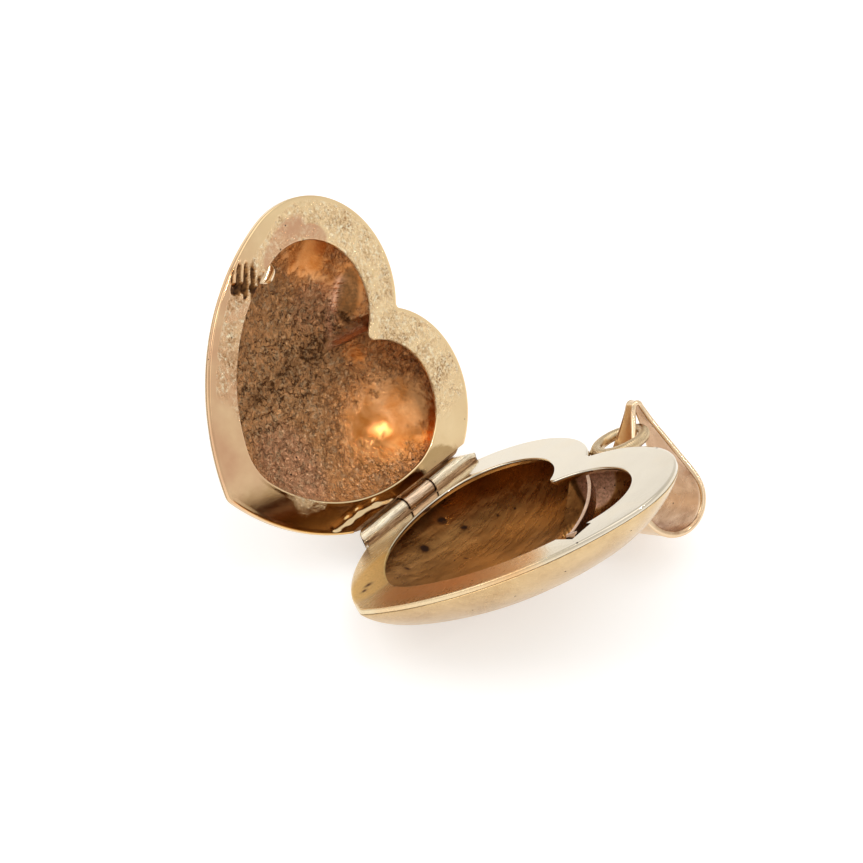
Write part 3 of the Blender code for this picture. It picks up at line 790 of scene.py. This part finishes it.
def bail_leaf(materials, place):
    """The leaf strip bent into a drop, with rolled edges and a matte inside."""
    length, loop_r, fold_r = 6.5, 2.8, 0.3
    rise, lean = 1.68, math.radians(14.3)
    spread = math.asin((loop_r - fold_r) / length)
    quarter = math.pi / 2
    path = []
    for turn in np.linspace(quarter + spread, 3 * quarter - spread, 24):
        path.append((0.0, fold_r, turn))
    for share in np.linspace(0.0, 1.0, 50)[1:-1]:
        path.append((length * share, fold_r + (loop_r - fold_r) * share, -quarter - spread))
    for turn in np.linspace(-quarter - spread, quarter + spread, 90):
        path.append((length, loop_r, turn))
    for share in np.linspace(1.0, 0.0, 50)[1:-1]:
        path.append((length * share, fold_r + (loop_r - fold_r) * share, quarter + spread))
    down = np.array((-math.sin(lean), -math.cos(lean)))
    across = np.array((-down[1], down[0]))
    whole = length + loop_r
    half_sheet = 0.17
    across_steps, edge_steps = 23, 9
    edge = [math.radians(a) for a in np.linspace(-90, 90, edge_steps)]
    rings, dark = [], []
    for centre, radius, turn in path:
        normal = np.array((math.cos(turn), math.sin(turn)))
        spine = np.array((centre, 0.0)) + normal * radius
        share = min(max(spine[0] / whole, 0.0), 1.0)
        half = 0.5 + 2.55 * math.sin(quarter * share) ** 1.35
        bead = 0.035 + 0.045 * share
        section = []
        for way, turns in ((1.0, edge), (-1.0, edge[::-1])):
            for w in np.linspace(-way, way, across_steps + 2)[1:-1]:
                section.append((w * (half - 0.15), -way * half_sheet + 0.10 * share * w * w))
            for a in turns:
                section.append((way * (half - 0.15 + (0.15 + bead) * math.cos(a) * 0.9),
                                0.1 * share + (half_sheet + bead) * math.sin(a)))
        ring = []
        for x, out in section:
            sheet_x, sheet_y = spine - normal * out
            flat = down * (sheet_x - rise) + across * sheet_y
            ring.append((x, flat[0], flat[1]))
        rings.append(ring)
        # The inside is darker, and darker still towards the bottom of the drop: painted shade under the near
        # lip.
        shade_under_lip = min(max((share - 0.86) / 0.12, 0.0), 1.0)
        dark.append([max(0.0, min(out / half_sheet, 1.0)) * (0.25 + 0.5 * shade_under_lip) for _, out in section])
    rings = np.array(rings)
    rings += 0.012 * fractal(rings, 1.6, 2, 6.0)[..., None]
    dark = unit(np.array(dark) * (1.0 + 0.8 * fractal(rings, 1.0, 3, 2.0)))
    count = rings.shape[1]
    inside = np.zeros(count, dtype=int)
    first = across_steps + edge_steps
    inside[first:first + across_steps - 1] = 1
    slots = np.tile(inside, len(rings))
    piece("bail_leaf", rings, lattice(len(rings), count, wrap_rows=True).tolist(), materials, place,
          "bail", ["bail"], {"dark": dark}, slots)


# ---------------- materials

class Recipe:
    """A node material being built: short calls that return output sockets."""

    def __init__(self, name):
        self.material = bpy.data.materials.new(name)
        self.material.use_nodes = True
        self.tree = self.material.node_tree
        self.shader = self.tree.nodes["Principled BSDF"]
        metres = self.node("ShaderNodeTexCoord").outputs["Object"]
        self.place = self.node("ShaderNodeVectorMath", {0: metres, 3: 1.0 / MM},
                               operation="SCALE").outputs[0]

    def node(self, kind, inputs=None, **settings):
        made = self.tree.nodes.new(kind)
        for key, value in settings.items():
            setattr(made, key, value)
        for key, value in (inputs or {}).items():
            self.feed(made.inputs[key], value)
        return made

    def feed(self, socket, value):
        if isinstance(value, bpy.types.NodeSocket):
            self.tree.links.new(value, socket)
        else:
            socket.default_value = value

    def math(self, operation, a, b=0.0, clamp=False):
        return self.node("ShaderNodeMath", {0: a, 1: b}, operation=operation, use_clamp=clamp).outputs[0]

    def plus(self, value, other, share, clamp=False):
        """value + other * share"""
        return self.math("ADD", value, self.math("MULTIPLY", other, share), clamp)

    def ramp(self, value, low, high, out_low=0.0, out_high=1.0):
        return self.node("ShaderNodeMapRange",
                         {0: value, 1: low, 2: high, 3: out_low, 4: out_high}).outputs[0]

    def mix(self, share, a, b):
        a, b = [(*c, 1.0) if isinstance(c, tuple) and len(c) == 3 else c for c in (a, b)]
        return self.node("ShaderNodeMix", {0: share, 6: a, 7: b}, data_type="RGBA").outputs[2]

    def mark(self, name):
        return self.node("ShaderNodeAttribute", attribute_name=name).outputs["Fac"]

    def noise(self, scale, detail=3.0, stretch=None, rough=0.55, warp=0.0):
        place = self.stretched(stretch) if stretch else self.place
        return self.node("ShaderNodeTexNoise", {"Vector": place, "Scale": scale, "Detail": detail,
                                                "Roughness": rough, "Distortion": warp}).outputs["Fac"]

    def stretched(self, stretch):
        turn, sizes = stretch
        return self.node("ShaderNodeMapping", {"Vector": self.place, "Rotation": (0, 0, math.radians(turn)),
                                               "Scale": sizes}).outputs[0]

    def bump(self, height, distance, strength=1.0, below=None):
        inputs = {"Height": height, "Distance": distance * MM, "Strength": strength}
        if below:
            inputs["Normal"] = below
        return self.node("ShaderNodeBump", inputs).outputs[0]


def specks(recipe, scale, size, share):
    """Scattered dark specks: a share of the noise cells hold one."""
    cell = recipe.node("ShaderNodeTexVoronoi", {"Vector": recipe.place, "Scale": scale})
    dot = recipe.ramp(cell.outputs["Distance"], size, size * 0.55)
    pick = recipe.node("ShaderNodeSeparateColor", {0: cell.outputs["Color"]}).outputs[0]
    return recipe.math("MULTIPLY", dot, recipe.ramp(pick, 1.0 - share, 1.0 - share + 0.02))


# Near-black: real stains, and the painted shade at the knuckle ends
STAIN_AND_SHADE_COLOUR = (0.045, 0.020, 0.012)
SPECK_COLOUR = (0.018, 0.012, 0.008)


def gold(name, bright, warm, pink, deep, rough, worn_rough=0.5, cloud=0.5, mottle=None, pits=None,
         scratches=None, grain=None, speck=None, crackle=None, flecks=None, patchy=0.5):
    """Worn gold alloy. Marks on the mesh steer it: dark for tarnished metal and, in places, painted shade and
    a painted dark reflection; pink for firestain and, in places, a painted highlight and a painted pool of
    light; rough for wear.

    Four colours come first: clean, worn, firestained and tarnished; the last two also colour painted light
    and shade in places. rough is the clean metal's range of roughness, cloud the scale of its clouds per
    millimetre, and each other look starts with its own scale.
    """
    r = Recipe(name)
    dark, pinkness, wear = r.mark("dark"), r.mark("pink"), r.mark("rough")
    clouds = r.ramp(r.noise(cloud, 4.0, warp=0.6), 0.35, 0.68)
    colour = r.mix(r.math("MAXIMUM", r.math("MULTIPLY", clouds, patchy), wear, clamp=True), bright, warm)
    colour = r.mix(r.math("MULTIPLY", pinkness, 0.85, clamp=True), colour, pink)
    uneven = r.ramp(r.noise(cloud * 6.0, 5.0, rough=0.7), 0.3, 0.7, 0.55, 1.1)
    # The dark mark: tarnished metal, and in places painted shade and a painted dark reflection.
    tarnish_and_shade = r.math("MULTIPLY", dark, uneven, clamp=True)
    roughness = r.plus(r.ramp(clouds, 0.0, 1.0, *rough), wear, worn_rough - rough[0])
    normal = None
    if grain:
        scale, depth = grain
        normal = r.bump(r.noise(scale, 3.0, rough=0.65), depth, below=normal)
    if mottle:
        scale, depth, tint = mottle
        blotches = r.ramp(r.noise(scale, 4.0, rough=0.7, warp=0.4), 0.38, 0.62)
        spotted = r.math("MULTIPLY", blotches, wear)
        normal = r.bump(spotted, -depth, below=normal)
        tarnish_and_shade = r.plus(tarnish_and_shade, spotted, tint, clamp=True)
        roughness = r.plus(roughness, spotted, 0.12)
    if flecks:
        scale, tone = flecks
        light = r.ramp(r.noise(scale, 4.0, rough=0.7), 0.50, 0.62)
        colour = r.mix(r.math("MULTIPLY", light, wear, clamp=True), colour, tone)
    if scratches:
        stretch, scale, depth, tint = scratches
        lines = r.ramp(r.noise(scale, 4.0, stretch=stretch, rough=0.7), 0.38, 0.62)
        normal = r.bump(lines, depth, below=normal)
        tarnish_and_shade = r.plus(tarnish_and_shade, r.ramp(lines, 0.55, 0.0), tint, clamp=True)
        roughness = r.plus(roughness, lines, 0.08)
    if pits:
        scale, depth, tint = pits
        gathered = r.ramp(r.noise(1.1, 3.0), 0.38, 0.6, 0.3, 1.0)
        hollow = r.math("MULTIPLY", r.ramp(r.noise(scale, 4.0, rough=0.75), 0.5, 0.36), wear)
        hollow = r.math("MULTIPLY", hollow, gathered)
        normal = r.bump(hollow, -depth, below=normal)
        tarnish_and_shade = r.plus(tarnish_and_shade, hollow, tint, clamp=True)
    if crackle:
        scale, depth, tint = crackle
        shift = r.node("ShaderNodeTexNoise",
                       {"Vector": r.place, "Scale": 2.2, "Detail": 4.0}).outputs["Color"]
        warped = r.node("ShaderNodeVectorMath", {0: r.place, 1: shift}).outputs[0]
        net = r.node("ShaderNodeTexVoronoi", {"Vector": warped, "Scale": scale}, feature="DISTANCE_TO_EDGE")
        broken = r.ramp(r.noise(1.7, 3.0), 0.42, 0.58)
        crack = r.math("MULTIPLY", r.ramp(net.outputs["Distance"], 0.12, 0.0),
                       r.math("MULTIPLY", wear, broken))
        normal = r.bump(crack, -depth, below=normal)
        tarnish_and_shade = r.plus(tarnish_and_shade, crack, tint, clamp=True)
    colour = r.mix(tarnish_and_shade, colour, deep)
    # Where the dark mark passes 1 it turns near-black: real stains, and painted shade at the knuckle ends.
    stain = r.ramp(dark, 1.0, 1.5)
    colour = r.mix(stain, colour, STAIN_AND_SHADE_COLOUR)
    roughness = r.plus(roughness, stain, 0.25)
    if speck:
        dots = specks(r, *speck)
        colour = r.mix(dots, colour, SPECK_COLOUR)
        roughness = r.plus(roughness, dots, 0.4)
    r.feed(r.shader.inputs["Base Color"], colour)
    r.feed(r.shader.inputs["Roughness"], roughness)
    if normal is not None:
        r.feed(r.shader.inputs["Normal"], normal)
    r.shader.inputs["Metallic"].default_value = 1.0
    return r.material


# Scratches: their turn about Z in degrees, and how the noise is stretched along them
ALONG_HINGE = (0.0, (1.0, 0.06, 1.0))
ACROSS_DOME = (25.0, (1.0, 0.08, 1.0))
BRUSHED = (-20.0, (1.0, 0.10, 1.0))


# The looks of the metal, by piece: the four colours that gold() takes, and the rest of what it takes
LOOKS = {
    "mirror": (((0.68, 0.61, 0.49), (0.95, 0.68, 0.27), (0.80, 0.41, 0.16), (0.24, 0.12, 0.05)),
     dict(rough=(0.02, 0.05), worn_rough=0.4, cloud=0.35, mottle=(6.0, 0.01, 0.25),
          scratches=(ACROSS_DOME, 9.0, 0.0004, 0.02), grain=(12.0, 0.0006), speck=(0.8, 0.08, 0.2),
          patchy=0.08)),
    "pitted": (((0.82, 0.60, 0.33), (0.90, 0.69, 0.40), (0.58, 0.29, 0.17), (0.36, 0.17, 0.055)),
     dict(rough=(0.03, 0.06), worn_rough=0.34, cloud=0.5, mottle=(4.0, 0.020, 0.56),
          pits=(7.0, 0.03, 0.8), grain=(16.0, 0.0015), speck=(1.3, 0.10, 0.25),
          flecks=(3.0, (1.0, 0.92, 0.66)))),
    "satin": (((0.76, 0.565, 0.315), (0.70, 0.485, 0.23), (0.70, 0.46, 0.32), (0.34, 0.18, 0.07)),
     dict(rough=(0.12, 0.20), cloud=0.3, grain=(10.0, 0.002),
          scratches=(ACROSS_DOME, 7.0, 0.0025, 0.10), speck=(0.9, 0.07, 0.2))),
    "cavity_back": (((0.68, 0.33, 0.10), (0.58, 0.27, 0.08), (0.92, 0.60, 0.42), (0.17, 0.068, 0.018)),
     dict(rough=(0.13, 0.22), worn_rough=0.6, cloud=0.4, mottle=(5.0, 0.02, 0.4),
          scratches=(BRUSHED, 2.6, 0.006, 0.08), grain=(9.0, 0.004), speck=(1.3, 0.10, 0.2))),
    "cavity_lid": (((0.53, 0.175, 0.036), (0.98, 0.55, 0.25), (0.92, 0.50, 0.31), (0.15, 0.068, 0.024)),
     dict(rough=(0.10, 0.17), worn_rough=0.42, cloud=0.5, mottle=(2.3, 0.10, 0.36),
          pits=(5.0, 0.08, 0.55), crackle=(1.8, 0.10, 0.75), grain=(12.0, 0.004),
          speck=(1.2, 0.12, 0.3), flecks=(2.2, (1.0, 0.70, 0.40)))),
    "knuckle": (((1.0, 0.88, 0.66), (0.92, 0.72, 0.46), (0.80, 0.50, 0.32), (0.20, 0.10, 0.04)),
     dict(rough=(0.12, 0.22), cloud=0.8, scratches=(ALONG_HINGE, 8.0, 0.008, 0.40))),
    # The bearer's dark colours are partly painted shade of its recess under the knuckles, over tarnished
    # metal.
    "bearer": (((0.58, 0.37, 0.20), (0.48, 0.28, 0.14), (0.5, 0.3, 0.2), (0.10, 0.042, 0.016)),
     dict(rough=(0.20, 0.32), cloud=0.9, scratches=(ALONG_HINGE, 7.0, 0.010, 0.5))),
    "wire": (((0.84, 0.67, 0.42), (0.76, 0.56, 0.31), (0.6, 0.4, 0.25), (0.20, 0.10, 0.04)),
     dict(rough=(0.20, 0.30), cloud=1.2, grain=(12.0, 0.010))),
    "leaf": (((0.84, 0.64, 0.42), (0.76, 0.54, 0.33), (0.6, 0.4, 0.25), (0.36, 0.18, 0.08)),
     dict(rough=(0.16, 0.26), cloud=0.5, grain=(12.0, 0.003))),
    "leaf_inside": (((0.80, 0.55, 0.35), (0.66, 0.40, 0.22), (0.6, 0.4, 0.3), (0.30, 0.13, 0.05)),
     dict(rough=(0.22, 0.34), worn_rough=0.5, cloud=0.7, mottle=(3.2, 0.015, 0.45),
          grain=(10.0, 0.008), speck=(1.8, 0.14, 0.25))),
    "spring": (((0.70, 0.45, 0.28), (0.60, 0.35, 0.20), (0.5, 0.3, 0.2), (0.16, 0.065, 0.03)),
     dict(rough=(0.22, 0.34), cloud=0.8, grain=(9.0, 0.008))),
    "lip": (((0.84, 0.66, 0.44), (0.76, 0.54, 0.34), (0.6, 0.4, 0.25), (0.28, 0.14, 0.05)),
     dict(rough=(0.16, 0.26), cloud=1.0, grain=(8.0, 0.006))),
}


def make_materials():
    return {name: gold("gold_" + name, *colours, **finish) for name, (colours, finish) in LOOKS.items()}


# ---------------- the object

def build(m):
    grooves = [groove_tool("back_groove_tool", BACK_HINGE), groove_tool("lid_groove_tool", LID_HINGE)]
    back_shell = shell("back_dome", "back_shell", False, [m["satin"], m["cavity_back"]], BACK_HINGE, "back")
    carve(back_shell, [grooves[0]])
    lid_shell = shell("lid_dome", "front_shell", True, [m["satin"], m["cavity_lid"]], LID_HINGE, "front")
    carve(lid_shell, [grooves[1]])
    back_rim = rim("back_frame", "back_rim", False, [m["mirror"]], BACK_HINGE, "back")
    notch = notch_tool()
    carve(back_rim, [grooves[0], notch])
    lid_rim = rim("lid_frame", "front_rim", True, [m["pitted"]], LID_HINGE, "front")
    carve(lid_rim, [grooves[1]])
    discard([*grooves, notch])

    end = HINGE_LENGTH / 2
    knuckle("knuckle_point", "back_knuckle_point", -end, MIDDLE[0] - KNUCKLE_GAP, False, 1,
            [m["knuckle"]], BACK_HINGE, "back")
    knuckle("knuckle_lobe", "back_knuckle_lobe", MIDDLE[1] + KNUCKLE_GAP, end, False, 1,
            [m["knuckle"]], BACK_HINGE, "back")
    knuckle("knuckle_middle", "front_knuckle", *MIDDLE, True, -1, [m["knuckle"]], LID_HINGE, "front")
    seat("bearer_back", "back_hinge_plate", 1, [(-end, MIDDLE[0]), (MIDDLE[1], end)],
         [m["bearer"]], BACK_HINGE, "back")
    seat("bearer_lid", "front_hinge_plate", -1, [MIDDLE], [m["bearer"]], LID_HINGE, "front")
    pin([m["knuckle"]])

    catch_spring([m["spring"]])
    catch_keeper([m["lip"]])

    height = BACK_FACE_Z - RING_DROP
    milled_ring([m["wire"]], BACK_HINGE @ Matrix.Translation((*hinge_xy(*RING_CENTRE), height)))
    bail_leaf([m["leaf"], m["leaf_inside"]], BACK_HINGE @ Matrix.Translation((*hinge_xy(*BAIL_PIVOT), height))
              @ rotation(-HINGE_ANGLE, "Z"))
    solder("ring_solder_free", 0.95, 6.55, -0.55, (0.55, 0.5, 0.4), 1.0, [m["wire"]])
    solder("ring_solder_hinge", -0.95, 6.55, -0.55, (0.55, 0.5, 0.4), 2.0, [m["wire"]])


# ---------------- studio

def area_light(name, place, aim, side, power):
    lamp = bpy.data.lights.new(name, "AREA")
    lamp.shape = "RECTANGLE"
    lamp.size = lamp.size_y = side
    lamp.energy = power
    holder = bpy.data.objects.new(name, lamp)
    holder.location = place
    holder.rotation_euler = (Vector(aim) - Vector(place)).to_track_quat("-Z", "Y").to_euler()
    bpy.context.collection.objects.link(holder)


def studio():
    """A pale floor that lights itself a little, four soft lamps and a pale sky."""
    floor = bpy.data.meshes.new("floor")
    floor.from_pydata([(-2, -2, 0), (2, -2, 0), (2, 2, 0), (-2, 2, 0)], [], [(0, 1, 2, 3)])
    r = Recipe("floor_white")
    tone = r.noise(0.02, 2.0)
    r.feed(r.shader.inputs["Base Color"], r.mix(tone, (0.70, 0.70, 0.70), (0.72, 0.72, 0.72)))
    r.shader.inputs["Emission Color"].default_value = (1.0, 1.0, 1.0, 1.0)
    r.shader.inputs["Emission Strength"].default_value = 0.44
    r.shader.inputs["Roughness"].default_value = 0.8
    r.shader.inputs["Specular IOR Level"].default_value = 0.1
    floor.materials.append(r.material)
    thing = bpy.data.objects.new("floor", floor)
    bpy.context.collection.objects.link(thing)

    area_light("key", (-0.25, -0.30, 0.55), (0, 0, 0), 0.35, 0.9)
    area_light("top", (0.10, 0.15, 0.65), (0, 0, 0), 0.6, 1.0)
    area_light("spark", (0.385, 0.170, 0.357), (0, 0, 0.01), 0.024, 0.12)
    area_light("side", (0.37, 0.02, 0.34), (0, 0, 0.01), 0.20, 0.08)

    world = bpy.data.worlds.new("studio")
    world.use_nodes = True
    bpy.context.scene.world = world
    tree = world.node_tree
    place = tree.nodes.new("ShaderNodeTexCoord")
    split = tree.nodes.new("ShaderNodeSeparateXYZ")
    tree.links.new(place.outputs["Generated"], split.inputs[0])
    ramp = tree.nodes.new("ShaderNodeValToRGB")
    tree.links.new(split.outputs[2], ramp.inputs[0])
    ramp.color_ramp.elements[0].position, ramp.color_ramp.elements[0].color = 0.0, (0.98, 0.98, 0.98, 1)
    ramp.color_ramp.elements[1].position, ramp.color_ramp.elements[1].color = 0.8, (0.72, 0.72, 0.72, 1)
    background = tree.nodes["Background"]
    tree.links.new(ramp.outputs[0], background.inputs[0])
    background.inputs[1].default_value = 1.0


def camera():
    """The viewpoint, in metres, with a level horizon."""
    back = Vector((0.49348, -0.60145, 0.62828)).normalized()
    right = Vector((0.77553, 0.63129, -0.0048)).normalized()
    up = back.cross(right).normalized()
    lens = bpy.data.cameras.new("camera")
    lens.sensor_width = 36.0
    lens.lens = 100.1
    lens.clip_start = 0.005
    lens.clip_end = 20.0
    holder = bpy.data.objects.new("camera", lens)
    holder.matrix_world = Matrix.Translation((0.081986, -0.10201, 0.116759)) @ Matrix(
        (right, up, back)).transposed().to_4x4()
    bpy.context.collection.objects.link(holder)
    bpy.context.scene.camera = holder


camera()
studio()
build(make_materials())
for made in bpy.context.scene.objects:
    if "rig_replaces" in made or made.name.startswith("ring_solder"):
        settle(made)
bpy.context.scene.view_settings.view_transform = "Standard"
